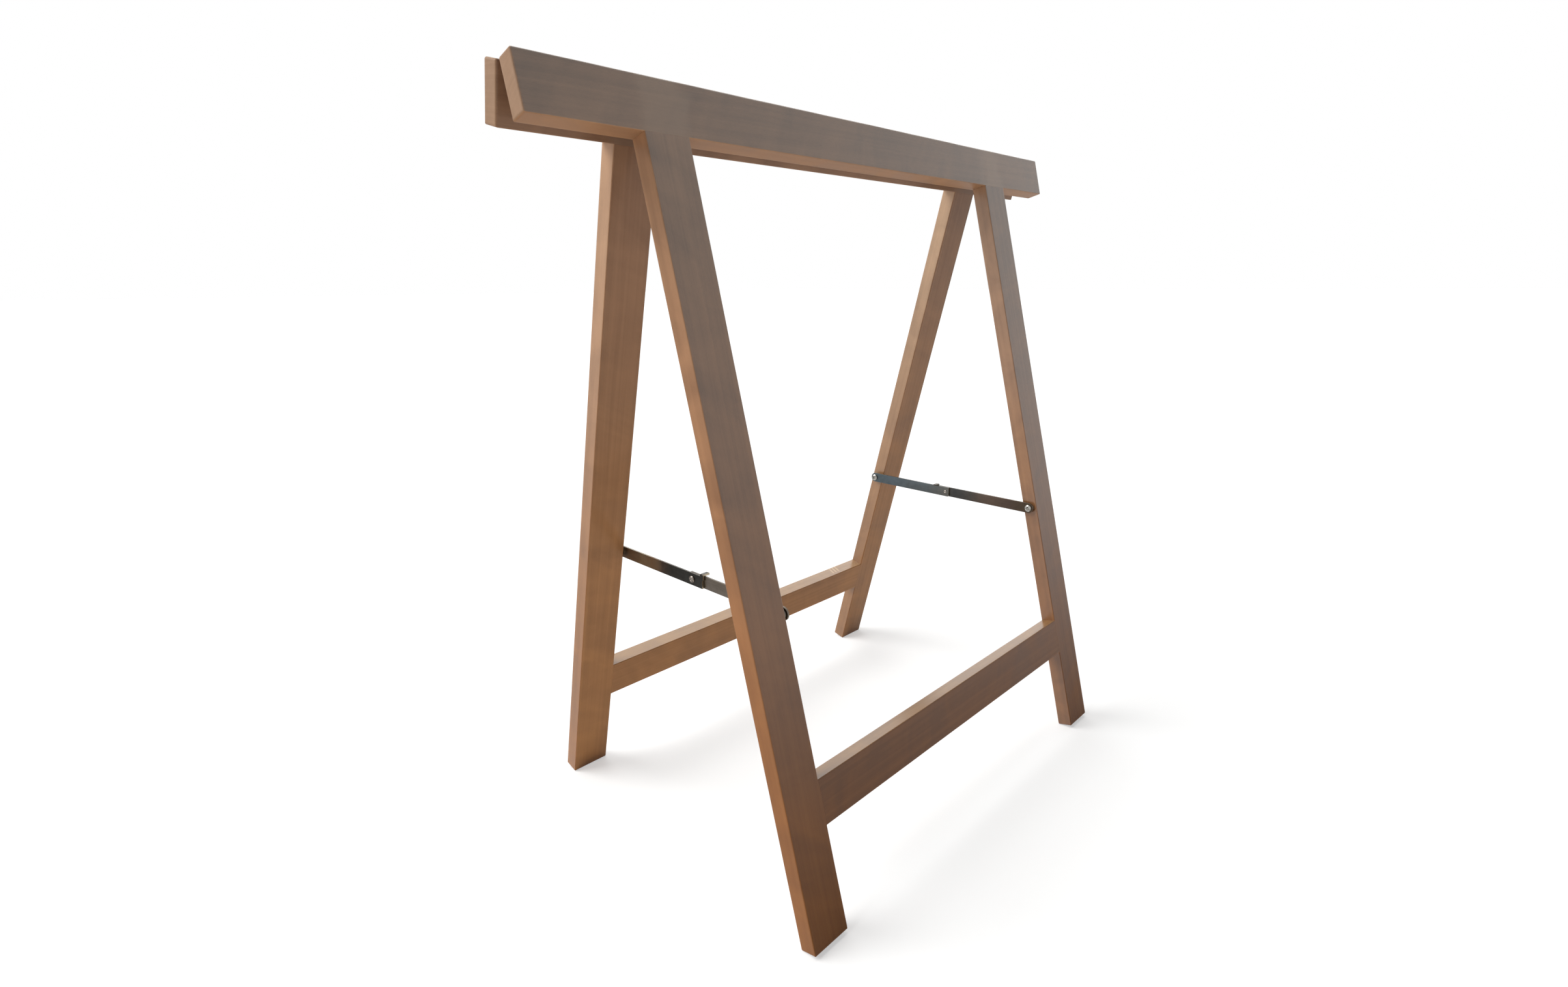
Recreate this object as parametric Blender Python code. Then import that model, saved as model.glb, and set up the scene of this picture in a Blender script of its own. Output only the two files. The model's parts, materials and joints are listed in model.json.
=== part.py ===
"""Folding wooden work trestle: two leg frames on one continuous hinge, held open by two folding stays."""
import math

import bmesh
import bpy
from mathutils import Matrix, Vector

# Driving sizes, in metres and degrees
RAIL_LENGTH = 0.750        # each top rail, end to end
FRAME_LENGTH = 0.750       # from the rail's top face down to the feet, along the frame
OPEN_ANGLE = 29.5          # between the two frames when the stays are straight
BOARD_THICKNESS = 0.018    # every wooden member
RAIL_HEIGHT = 0.044
LEG_WIDTH = 0.044
STRETCHER_HEIGHT = 0.044
LEG_INSET = 0.100          # from the rail's end to the leg's outer side
STRETCHER_RISE = 0.103     # from the feet to the stretcher's underside, along the frame
EDGE_RADIUS = 0.0015       # eased arrises of the boards
GAP = 0.0003               # between pieces that touch

DOWEL_RADIUS = 0.004
DOWEL_LENGTH = 0.040
DOWEL_SPACING = 0.020
DOWEL_CHAMFER = 0.001
HOLE_EXTRA_DEPTH = 0.001   # room past the end of a dowel or a screw

FOLDED_GAP = 0.0022        # between the frames' inner faces when folded flat
KNUCKLE_RADIUS = 0.0021
LEAF_THICKNESS = 0.0009
LEAF_WIDTH = 0.0135        # from the pin's axis to the leaf's outer edge
PIN_RADIUS = 0.00085
KNUCKLE_COUNT = 24         # on both leaves together
KNUCKLE_END_CLEARANCE = 0.0004
LEAF_NOTCH_CLEARANCE = 0.0004
ROLL_END_ANGLE = 200       # where the rolled edge stops, from the side of the other leaf over the top
HINGE_END_MARGIN = 0.025   # from the rail's end to the hinge
HINGE_SCREW_COUNT = 7      # on each leaf
HINGE_SCREW_RADIUS = 0.0015
HINGE_SCREW_LENGTH = 0.012
HINGE_SCREW_HEAD_RADIUS = 0.0027
HINGE_SCREW_HEAD_HEIGHT = 0.0009
HINGE_SCREW_END_DISTANCE = 0.040

STAY_PLACE = 0.6           # share of the frame's length from the rail's top to the stay screws
BAR_WIDTH = 0.013
BAR_THICKNESS = 0.002
SQUARE_END_REACH = 0.0052  # plain bar past the rivet
SQUARE_END_CORNER = 0.0010 # cut off its two corners
BAR_TAIL = 0.0155          # lug bar past the rivet
LUG_REACH = 0.0172         # far side of the lug from the rivet
LUG_LENGTH = 0.0045        # along the bar
LUG_NOSE_HEIGHT = 0.0040   # part of the bar's end that carries the lug
LUG_OVERHANG = 0.0045      # past the plain bar's outer face
LUG_BEND_RADIUS = 0.0010
BAR_STAND_OFF = 0.0024     # thickness of the spacer behind the lug bar
SPACER_RADIUS = 0.0050
STAY_SCREW_RADIUS = 0.0021
STAY_SCREW_DEPTH = 0.022   # in the leg
STAY_HEAD_RADIUS = 0.0044
STAY_HEAD_HEIGHT = 0.0026
RIVET_RADIUS = 0.0018
RIVET_HEAD_RADIUS = 0.0037
RIVET_HEAD_HEIGHT = 0.0016
RIVET_TAIL_RADIUS = 0.0025
RIVET_TAIL_HEIGHT = 0.0011

# Facets round a circle
DOWEL_SIDES = 12
SCREW_SIDES = 10
STAY_SIDES = 20
BAR_END_STEPS = 12
KNUCKLE_STEPS = 12

# Places in a frame, with the pin's axis at y = 0 and z = 0 and the frame hanging below it
TILT = math.radians(OPEN_ANGLE) / 2
RAIL_TOP = -KNUCKLE_RADIUS - GAP
RAIL_BOTTOM = RAIL_TOP - RAIL_HEIGHT
FOOT = RAIL_TOP - FRAME_LENGTH
INNER_FACE = -FOLDED_GAP / 2
OUTER_FACE = INNER_FACE - BOARD_THICKNESS
BOARD_MIDDLE = (INNER_FACE + OUTER_FACE) / 2
LEG_CENTRE = RAIL_LENGTH / 2 - LEG_INSET - LEG_WIDTH / 2
LEG_SIDE = LEG_CENTRE - LEG_WIDTH / 2
STRETCHER_BOTTOM = FOOT + STRETCHER_RISE
STRETCHER_MIDDLE = STRETCHER_BOTTOM + STRETCHER_HEIGHT / 2
ANCHOR_DOWN = RAIL_TOP - STAY_PLACE * FRAME_LENGTH
LEAF_TOP = LEAF_THICKNESS - KNUCKLE_RADIUS
LEAF_NOTCH = math.sqrt((KNUCKLE_RADIUS + LEAF_NOTCH_CLEARANCE) ** 2 - LEAF_TOP ** 2)

# Places in the world: the frames stand on the lower edge of each foot, just outside its eased inner arris
PIN_HEIGHT = (INNER_FACE - EDGE_RADIUS) * math.sin(TILT) - FOOT * math.cos(TILT)
ANCHOR_Y = -BOARD_MIDDLE * math.cos(TILT) - ANCHOR_DOWN * math.sin(TILT)
ANCHOR_Z = PIN_HEIGHT + ANCHOR_DOWN * math.cos(TILT) - BOARD_MIDDLE * math.sin(TILT)

# Layers of a stay, counted from the leg's side towards the middle of the trestle
LUG_BAR_START = GAP + BAR_STAND_OFF + GAP
LUG_BAR_END = LUG_BAR_START + BAR_THICKNESS
PLAIN_BAR_START = LUG_BAR_END + GAP
PLAIN_BAR_END = PLAIN_BAR_START + BAR_THICKNESS
LUG_UNDERSIDE = BAR_WIDTH / 2 + GAP
LUG_TOP = LUG_UNDERSIDE + BAR_THICKNESS


# Scene helpers

def clear_scene():
    for thing in list(bpy.data.objects):
        bpy.data.objects.remove(thing, do_unlink=True)


def new_material(name, colour, roughness, metallic):
    material = bpy.data.materials.new(name)
    material.use_nodes = True
    shader = material.node_tree.nodes["Principled BSDF"]
    shader.inputs["Base Color"].default_value = (*colour, 1.0)
    shader.inputs["Roughness"].default_value = roughness
    shader.inputs["Metallic"].default_value = metallic
    return material


def add_empty(name, parent=None, location=(0, 0, 0), turn=(0, 0, 0)):
    empty = bpy.data.objects.new(name, None)
    bpy.context.scene.collection.objects.link(empty)
    empty.parent = parent
    empty.location = location
    empty.rotation_euler = turn
    return empty


def new_mesh(name, bm, material=None, smooth=False):
    bmesh.ops.recalc_face_normals(bm, faces=bm.faces)
    mesh = bpy.data.meshes.new(name)
    bm.to_mesh(mesh)
    bm.free()
    if smooth:
        mesh.shade_smooth()
        mesh.set_sharp_from_angle(angle=math.radians(35))
    if material:
        mesh.materials.append(material)
    return mesh


def add_piece(name, mesh, parent, place=Matrix()):
    piece = bpy.data.objects.new(name, mesh)
    bpy.context.scene.collection.objects.link(piece)
    piece.parent = parent
    piece.matrix_basis = place
    return piece


def add_row(name, mesh, parent, places):
    """One object for each place, all with the same mesh, numbered from 1."""
    for number, place in enumerate(places, 1):
        add_piece(name + "_" + str(number), mesh, parent, place)


def cut_holes(piece, drills):
    """Takes each drill's body out of the piece, at each of its places in the piece's own frame."""
    bm = bmesh.new()
    for drill, places in drills:
        mesh = new_mesh("drill", drill)
        for place in places:
            mesh.transform(place)
            bm.from_mesh(mesh)
            mesh.transform(place.inverted())
        bpy.data.meshes.remove(mesh)
    cutter = add_piece(piece.name + "_holes", new_mesh(piece.name + "_holes", bm), piece.parent)
    cutter.hide_render = True
    cutter.display_type = "WIRE"
    holes = piece.modifiers.new("holes", "BOOLEAN")
    holes.operation = "DIFFERENCE"
    holes.solver = "EXACT"
    holes.object = cutter


# Shape helpers

def board(low, high, grain, butt_ends=()):
    """A board with eased arrises, along the axis with the index grain.

    An end that butts against another board stays sharp; butt_ends gives the signs of those ends.
    """
    centre = (Vector(low) + Vector(high)) / 2
    size = Vector(high) - Vector(low)
    bm = bmesh.new()
    bmesh.ops.create_cube(bm, size=1, matrix=Matrix.Translation(centre) @ Matrix.Diagonal((*size, 1)))
    eased = []
    for edge in bm.edges:
        first, second = (vert.co[grain] - centre[grain] for vert in edge.verts)
        if first * second < 0 or all(first * sign < 0 for sign in butt_ends):
            eased.append(edge)
    bmesh.ops.bevel(bm, geom=eased, offset=EDGE_RADIUS, segments=2, profile=0.5, affect="EDGES")
    return bm


def turned(profile, sides):
    """A closed body turned round Z from (radius, height) points."""
    bm = bmesh.new()
    verts = [bm.verts.new((radius, 0, height)) for radius, height in profile]
    edges = [bm.edges.new(pair) for pair in zip(verts, verts[1:])]
    bmesh.ops.spin(bm, geom=verts + edges, axis=(0, 0, 1), cent=(0, 0, 0), angle=math.tau, steps=sides)
    bmesh.ops.remove_doubles(bm, verts=bm.verts, dist=1e-6)
    bmesh.ops.recalc_face_normals(bm, faces=bm.faces)
    return bm


def cylinder(radius, start, end, sides):
    return turned([(0, start), (radius, start), (radius, end), (0, end)], sides)


def along_x(sign=1):
    """Turns the Z axis to +X or to -X."""
    return Matrix.Rotation(sign * math.pi / 2, 4, "Y")


def drawn_out(bm, faces, distance):
    """Extrudes faces along X, keeping the first ones, and gives the ones at the far side."""
    made = bmesh.ops.extrude_face_region(bm, geom=faces, use_keep_orig=True)["geom"]
    verts = [item for item in made if isinstance(item, bmesh.types.BMVert)]
    bmesh.ops.translate(bm, vec=(distance, 0, 0), verts=verts)
    moved = set(verts)
    return [item for item in made if isinstance(item, bmesh.types.BMFace) and set(item.verts) <= moved]


# Dowels

def dowel():
    half = DOWEL_LENGTH / 2
    neck = DOWEL_RADIUS - DOWEL_CHAMFER
    shoulder = half - DOWEL_CHAMFER
    profile = [(0, -half), (neck, -half), (DOWEL_RADIUS, -shoulder)]
    profile += [(DOWEL_RADIUS, shoulder), (neck, half), (0, half)]
    return turned(profile, DOWEL_SIDES)


def dowel_hole():
    reach = DOWEL_LENGTH / 2 + HOLE_EXTRA_DEPTH
    return cylinder(DOWEL_RADIUS + GAP, -reach, reach, DOWEL_SIDES)


def rail_joint(side):
    """Places of the two upright dowels between the rail and one leg."""
    steps = (-DOWEL_SPACING / 2, DOWEL_SPACING / 2)
    return [Matrix.Translation((side * LEG_CENTRE + step, BOARD_MIDDLE, RAIL_BOTTOM)) for step in steps]


def stretcher_joint(side):
    """Places of the two level dowels between the stretcher and one leg."""
    steps = (-DOWEL_SPACING / 2, DOWEL_SPACING / 2)
    return [Matrix.Translation((side * LEG_SIDE, BOARD_MIDDLE, STRETCHER_MIDDLE + step)) @ along_x()
            for step in steps]


# Continuous hinge

def hinge_screw_places():
    """Along the middle of the leaf's flat, on its top face."""
    first = HINGE_SCREW_END_DISTANCE - RAIL_LENGTH / 2
    step = -2 * first / (HINGE_SCREW_COUNT - 1)
    across = -(LEAF_NOTCH + LEAF_WIDTH) / 2
    stops = [first + index * step for index in range(HINGE_SCREW_COUNT)]
    return [Matrix.Translation((stop, across, LEAF_TOP)) for stop in stops]


def hinge_screw():
    """Round-headed wood screw, with heights counted from the leaf's top face."""
    taper = 2 * HINGE_SCREW_RADIUS - HINGE_SCREW_LENGTH
    top = GAP + HINGE_SCREW_HEAD_HEIGHT
    profile = [(0, -HINGE_SCREW_LENGTH), (HINGE_SCREW_RADIUS, taper), (HINGE_SCREW_RADIUS, GAP)]
    profile += [(HINGE_SCREW_HEAD_RADIUS, GAP), (HINGE_SCREW_HEAD_RADIUS * 0.72, top * 0.8), (0, top)]
    return turned(profile, SCREW_SIDES)


def hinge_screw_hole():
    depth = HINGE_SCREW_LENGTH + HOLE_EXTRA_DEPTH
    return cylinder(HINGE_SCREW_RADIUS + GAP, -depth, HINGE_SCREW_HEAD_HEIGHT, SCREW_SIDES)


def roll_outline():
    """The edge rolled round the pin, as (y, z) points: outside first, then back along the bore."""
    start = -math.pi / 2
    sweep = math.radians(ROLL_END_ANGLE) - start
    angles = [start + sweep * step / KNUCKLE_STEPS for step in range(KNUCKLE_STEPS + 1)]
    bore = KNUCKLE_RADIUS - LEAF_THICKNESS
    outside = [(KNUCKLE_RADIUS * math.cos(angle), KNUCKLE_RADIUS * math.sin(angle)) for angle in angles]
    inside = [(bore * math.cos(angle), bore * math.sin(angle)) for angle in reversed(angles)]
    return outside + inside


def hinge_leaf():
    """A flat strip along X whose inner edge is rolled into a knuckle at every second place."""
    length = RAIL_LENGTH - 2 * HINGE_END_MARGIN
    pitch = length / KNUCKLE_COUNT
    clear = KNUCKLE_END_CLEARANCE / 2
    stations = []
    for index in range(0, KNUCKLE_COUNT, 2):
        start = index * pitch - length / 2
        stations += [start + clear, start + pitch - clear]
    stations.append(length / 2 - clear)
    under = -KNUCKLE_RADIUS
    corners = [(-LEAF_NOTCH, under), (-LEAF_NOTCH, LEAF_TOP), (-LEAF_WIDTH, LEAF_TOP), (-LEAF_WIDTH, under)]
    bm = bmesh.new()
    flats = [[bm.verts.new((x, y, z)) for y, z in corners] for x in stations]
    rolls = [[bm.verts.new((x, y, z)) for y, z in roll_outline()] for x in stations[:-1]]
    for here, there in zip(flats, flats[1:]):
        for side in (1, 2, 3):
            after = (side + 1) % 4
            bm.faces.new((here[side], here[after], there[after], there[side]))
    for index in range(len(stations) - 1):
        here, there = flats[index], flats[index + 1]
        if index % 2:
            bm.faces.new((here[0], here[1], there[1], there[0]))
            continue
        first = [here[0], *rolls[index], here[1]]
        last = [there[0], *rolls[index + 1], there[1]]
        for a, b, c, d in zip(first, first[1:], last[1:], last):
            bm.faces.new((a, b, c, d))
        bm.faces.new(first)
        bm.faces.new(last)
    bm.faces.new(flats[0])
    bm.faces.new(flats[-1])
    return bm


# Folding stays

def round_end(centre, start):
    """Half circle of (y, z) points at one end of a bar."""
    angles = [start + math.pi * step / BAR_END_STEPS for step in range(BAR_END_STEPS + 1)]
    half = BAR_WIDTH / 2
    return [(centre + half * math.cos(angle), half * math.sin(angle)) for angle in angles]


def bar_hole(radius):
    return cylinder(radius + GAP, 0, PLAIN_BAR_END + GAP, STAY_SIDES)


def leg_side(y=0):
    """Place on the plane of the leg's side, facing the trestle's middle, at one distance along a bar."""
    return Matrix.Translation((LEG_SIDE, y, 0)) @ along_x(-1)


def plain_bar():
    """Flat bar from its screw at y = 0 to the rivet in the trestle's middle and on to a square end."""
    half = BAR_WIDTH / 2
    end = -ANCHOR_Y - SQUARE_END_REACH
    inward = end + SQUARE_END_CORNER
    step = half - SQUARE_END_CORNER
    outline = round_end(0, -math.pi / 2) + [(inward, half), (end, step), (end, -step), (inward, -half)]
    bm = bmesh.new()
    start = bm.faces.new([bm.verts.new((LEG_SIDE - PLAIN_BAR_START, y, z)) for y, z in outline])
    drawn_out(bm, [start], -BAR_THICKNESS)
    return bm


def lug_bar():
    """Flat bar from its screw to the rivet at y = 0 and on to a square end, with its lug bent over."""
    half = BAR_WIDTH / 2
    lug_start = LUG_REACH - LUG_LENGTH
    face = LEG_SIDE - LUG_BAR_START
    outline = round_end(-ANCHOR_Y, math.pi / 2)
    outline += [(BAR_TAIL, -half), (BAR_TAIL, half - LUG_NOSE_HEIGHT), (LUG_REACH, half - LUG_NOSE_HEIGHT)]
    outline += [(LUG_REACH, LUG_UNDERSIDE), (lug_start, LUG_UNDERSIDE), (lug_start, half)]
    bm = bmesh.new()
    verts = [bm.verts.new((face, y, z)) for y, z in outline]
    top = [bm.verts.new((face, lug_start, LUG_TOP)), bm.verts.new((face, LUG_REACH, LUG_TOP))]
    flat = bm.faces.new(verts)
    root = bm.faces.new([verts[-3], verts[-2], *top])
    far = drawn_out(bm, [flat, root], -BAR_THICKNESS)
    lug = [item for item in far if item.calc_center_median().z > LUG_UNDERSIDE]
    drawn_out(bm, lug, -GAP - BAR_THICKNESS - LUG_OVERHANG)
    bmesh.ops.delete(bm, geom=lug, context="FACES_ONLY")
    bend = [edge for edge in bm.edges if set(edge.verts) == set(top)]
    bmesh.ops.bevel(bm, geom=bend, offset=LUG_BEND_RADIUS, segments=3, profile=0.5, affect="EDGES")
    return bm


def stay_rivet():
    """Domed head beside the leg, shank through both bars and a small tail beside the plain bar."""
    head = LUG_BAR_START - GAP
    tail = PLAIN_BAR_END + GAP
    top = head - RIVET_HEAD_HEIGHT
    end = tail + RIVET_TAIL_HEIGHT
    profile = [(0, top), (RIVET_HEAD_RADIUS * 0.55, top + RIVET_HEAD_HEIGHT * 0.15)]
    profile += [(RIVET_HEAD_RADIUS * 0.9, top + RIVET_HEAD_HEIGHT * 0.5), (RIVET_HEAD_RADIUS, head)]
    profile += [(RIVET_RADIUS, head), (RIVET_RADIUS, tail), (RIVET_TAIL_RADIUS, tail)]
    profile += [(RIVET_TAIL_RADIUS * 0.8, tail + RIVET_TAIL_HEIGHT * 0.7), (0, end)]
    return turned(profile, STAY_SIDES)


def pan_head(seat):
    """Points from the shank's edge at the head's seat to the top of the head."""
    steps = [(1, 0), (1, 0.35), (0.86, 0.75), (0.5, 0.96), (0, 1)]
    return [(STAY_SCREW_RADIUS, seat)] + [(STAY_HEAD_RADIUS * across, seat + STAY_HEAD_HEIGHT * up)
                                          for across, up in steps]


def screw_point():
    """Points from the screw's tip to where its shank is full."""
    taper = 2 * STAY_SCREW_RADIUS - STAY_SCREW_DEPTH
    return [(0, -STAY_SCREW_DEPTH), (STAY_SCREW_RADIUS, taper)]


def spacer(end):
    bore = STAY_SCREW_RADIUS + GAP
    ring = [(bore, GAP), (SPACER_RADIUS, GAP), (SPACER_RADIUS, end), (bore, end), (bore, GAP)]
    return turned(ring, STAY_SIDES)


def stay_screw_hole():
    return cylinder(STAY_SCREW_RADIUS + GAP, -GAP, STAY_SCREW_DEPTH + HOLE_EXTRA_DEPTH, STAY_SIDES)


# Assembly

def add_frame(half, frame, side_names, materials):
    """One leg frame, leaning against the pin's axis, with its dowels and its leaf of the hinge."""
    beech, dowel_beech, plated, bright = materials
    hang = add_empty(frame + "_frame_at_pin", half, (0, 0, PIN_HEIGHT), (-TILT, 0, 0))
    dowels = new_mesh("dowel", dowel(), dowel_beech, True)
    end = RAIL_LENGTH / 2
    shape = board((-end, OUTER_FACE, RAIL_BOTTOM), (end, INNER_FACE, RAIL_TOP), 0)
    rail = add_piece(frame + "_top_rail", new_mesh("rail", shape, beech), hang)
    joints = rail_joint(-1) + rail_joint(1)
    cut_holes(rail, [(dowel_hole(), joints), (hinge_screw_hole(), hinge_screw_places())])

    for side in (-1, 1):
        name = frame + "_" + side_names[side] + "_leg"
        low = (side * LEG_CENTRE - LEG_WIDTH / 2, OUTER_FACE, FOOT)
        high = (side * LEG_CENTRE + LEG_WIDTH / 2, INNER_FACE, RAIL_BOTTOM - GAP)
        leg = add_piece(name, new_mesh("leg", board(low, high, 2, (1,)), beech), hang)
        stay_place = Matrix.Translation((side * LEG_SIDE, BOARD_MIDDLE, ANCHOR_DOWN)) @ along_x(side)
        joints = rail_joint(side) + stretcher_joint(side)
        cut_holes(leg, [(dowel_hole(), joints), (stay_screw_hole(), [stay_place])])
        add_row(name + "_rail_dowel", dowels, hang, rail_joint(side))
        add_row(name + "_stretcher_dowel", dowels, hang, stretcher_joint(side))

    reach = LEG_SIDE - GAP
    low = (-reach, OUTER_FACE, STRETCHER_BOTTOM)
    high = (reach, INNER_FACE, STRETCHER_BOTTOM + STRETCHER_HEIGHT)
    shape = board(low, high, 0, (-1, 1))
    stretcher = add_piece(frame + "_stretcher", new_mesh("stretcher", shape, beech), hang)
    cut_holes(stretcher, [(dowel_hole(), stretcher_joint(-1) + stretcher_joint(1))])

    leaf = add_piece("hinge_" + frame + "_leaf", new_mesh("leaf", hinge_leaf(), plated, True), hang)
    cut_holes(leaf, [(hinge_screw_hole(), hinge_screw_places())])
    screws = new_mesh("hinge_screw", hinge_screw(), bright, True)
    add_row("hinge_" + frame + "_screw", screws, hang, hinge_screw_places())


def add_stay(half, name, materials):
    """The stay beside the legs at +X: plain bar from the far leg, lug bar from the near leg."""
    plated, bright = materials[2:]
    far_leg = add_empty(name + "_far_screw_axis", half, (0, ANCHOR_Y, ANCHOR_Z))
    near_leg = add_empty(name + "_near_screw_axis", half, (0, -ANCHOR_Y, ANCHOR_Z))
    middle = add_empty(name + "_rivet_axis", far_leg, (0, -ANCHOR_Y, 0))
    lug_end = add_empty(name + "_lug_bar_end", middle, (0, -ANCHOR_Y, 0))
    far_end = leg_side(-ANCHOR_Y)

    bar = add_piece(name + "_plain_bar", new_mesh("plain_bar", plain_bar(), plated, True), far_leg)
    cut_holes(bar, [(bar_hole(STAY_SCREW_RADIUS), [leg_side()]), (bar_hole(RIVET_RADIUS), [far_end])])
    screw = turned(screw_point() + pan_head(PLAIN_BAR_END + GAP), STAY_SIDES)
    add_piece(name + "_plain_bar_screw", new_mesh("stay_screw", screw, bright, True), far_leg, leg_side())
    ring = spacer(PLAIN_BAR_START - GAP)
    add_piece(name + "_plain_bar_spacer", new_mesh("long_spacer", ring, plated, True), far_leg, leg_side())

    bar = add_piece(name + "_lug_bar", new_mesh("lug_bar", lug_bar(), plated, True), middle)
    cut_holes(bar, [(bar_hole(STAY_SCREW_RADIUS), [far_end]), (bar_hole(RIVET_RADIUS), [leg_side()])])
    add_piece(name + "_rivet", new_mesh("rivet", stay_rivet(), bright, True), middle, leg_side())
    head = turned([(0, GAP), (STAY_SCREW_RADIUS, GAP)] + pan_head(LUG_BAR_END + GAP), STAY_SIDES)
    add_piece(name + "_lug_bar_screw_head", new_mesh("screw_head", head, bright, True), lug_end, leg_side())
    ring = spacer(LUG_BAR_START - GAP)
    add_piece(name + "_lug_bar_spacer", new_mesh("short_spacer", ring, plated, True), lug_end, leg_side())
    shank = turned(screw_point() + [(STAY_SCREW_RADIUS, 0), (0, 0)], STAY_SIDES)
    add_piece(name + "_lug_bar_screw_shank", new_mesh("shank", shank, bright, True), near_leg, leg_side())


def main():
    clear_scene()
    materials = (
        new_material("oiled_beech", (0.36, 0.22, 0.13), 0.5, 0.0),
        new_material("dowel_beech", (0.48, 0.34, 0.21), 0.6, 0.0),
        new_material("zinc_plated_steel", (0.32, 0.33, 0.34), 0.38, 1.0),
        new_material("bright_steel", (0.6, 0.6, 0.59), 0.28, 1.0),
    )
    front_half = add_empty("front_half")
    back_half = add_empty("back_half", turn=(0, 0, math.pi))
    add_frame(front_half, "front", {-1: "left", 1: "right"}, materials)
    add_frame(back_half, "back", {-1: "right", 1: "left"}, materials)
    add_stay(front_half, "right_stay", materials)
    add_stay(back_half, "left_stay", materials)
    pin_axis = add_empty("hinge_pin_axis", None, (0, 0, PIN_HEIGHT))
    reach = RAIL_LENGTH / 2 - HINGE_END_MARGIN - KNUCKLE_END_CLEARANCE
    pin = new_mesh("pin", cylinder(PIN_RADIUS, -reach, reach, SCREW_SIDES), materials[3], True)
    add_piece("hinge_pin", pin, pin_axis, along_x())


main()
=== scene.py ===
# Work trestle: beech leg frames on a continuous hinge, with folding steel stays
import json
import math

import bpy
import numpy as np
from mathutils import Matrix, Vector


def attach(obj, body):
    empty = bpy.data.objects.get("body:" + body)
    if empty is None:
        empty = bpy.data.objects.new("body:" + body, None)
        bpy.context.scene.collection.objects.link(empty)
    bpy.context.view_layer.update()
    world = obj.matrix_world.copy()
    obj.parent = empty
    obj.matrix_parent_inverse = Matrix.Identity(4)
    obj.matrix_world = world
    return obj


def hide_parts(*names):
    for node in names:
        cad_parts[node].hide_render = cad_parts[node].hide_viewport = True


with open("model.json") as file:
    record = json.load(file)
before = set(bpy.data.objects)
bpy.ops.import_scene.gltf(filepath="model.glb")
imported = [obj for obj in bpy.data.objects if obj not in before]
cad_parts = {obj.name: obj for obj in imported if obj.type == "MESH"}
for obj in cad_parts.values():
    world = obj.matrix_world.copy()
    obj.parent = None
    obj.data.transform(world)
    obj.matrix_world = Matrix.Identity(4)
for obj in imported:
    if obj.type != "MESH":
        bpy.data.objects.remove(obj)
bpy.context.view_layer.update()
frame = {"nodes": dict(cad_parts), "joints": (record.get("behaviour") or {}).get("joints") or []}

joints = {joint["name"]: joint for joint in frame["joints"]}

# Sizes in metres, the same as the solids'
trestle = {
    "railLength": 0.750,
    "frameLength": 0.750,
    "halfOpening": math.radians(14.75),
    "thickness": 0.018,
    "boardWidth": 0.044,
    "legInset": 0.100,       # rail's end to the leg's outer side
    "stretcherRise": 0.103,  # feet to the stretcher's underside
    "innerFace": -0.0011,    # from the pin's axis
    "railTop": -0.0024,
    "gap": 0.0003,
}
pinHeight = joints["fold"]["pos_m"][2]
anchorY, anchorZ = joints["right_stay_leg_pivot"]["pos_m"][1:]
legSide = trestle["railLength"] / 2 - trestle["legInset"] - trestle["boardWidth"]
boardMiddle = trestle["innerFace"] - trestle["thickness"] / 2
halfTurn = Matrix.Rotation(math.pi, 4, "Z")

# Frame coordinates have the pin's axis at y = 0 and z = 0, with the frame hanging straight down
frontPlace = Matrix.Translation((0, 0, pinHeight)) @ Matrix.Rotation(-trestle["halfOpening"], 4, "X")
framePlaces = {"front": frontPlace, "back": halfTurn @ frontPlace}
outerFace = Vector((0, -1, 0))     # the way that a frame's outer faces look, in frame coordinates
sharpAngle = math.radians(32)      # edges that turn further than this stay crisp


def linear(hexColour):
    # sRGB hex to linear: c / 12.92 up to 0.04045, else ((c + 0.055) / 1.055) ^ 2.4, with alpha 1
    values = [int(hexColour[i:i + 2], 16) / 255 for i in (1, 3, 5)]
    return tuple(c / 12.92 if c <= 0.04045 else ((c + 0.055) / 1.055) ** 2.4 for c in values) + (1.0,)


def addNode(tree, kind, settings={}, inputs={}):
    # settings are the node's own properties; an input is a value, or a (node, socket) pair to link, and two
    # sockets' names together take a pair of values
    made = tree.nodes.new("ShaderNode" + kind)
    for name, value in settings.items():
        setattr(made, name, value)
    for names, values in inputs.items():
        for name, value in zip(names, values) if isinstance(names, tuple) else ((names, values),):
            if isinstance(value, tuple) and isinstance(value[0], bpy.types.Node):
                tree.links.new(value[0].outputs[value[1]], made.inputs[name])
            else:
                made.inputs[name].default_value = value
    return made


# settings and pairs of sockets that many nodes share
fromPair, toPair = ("From Min", "From Max"), ("To Min", "To Max")
colourMix, smoothly = {"data_type": "RGBA"}, {"interpolation_type": "SMOOTHSTEP"}
times, timesPlus = {"operation": "MULTIPLY"}, {"operation": "MULTIPLY_ADD"}
less, positive, greater = {"operation": "SUBTRACT"}, {"operation": "ABSOLUTE"}, {"operation": "MAXIMUM"}


def newMaterial(name):
    material = bpy.data.materials.new(name)
    material.use_nodes = True
    material.node_tree.nodes.clear()
    return material, material.node_tree


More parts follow.
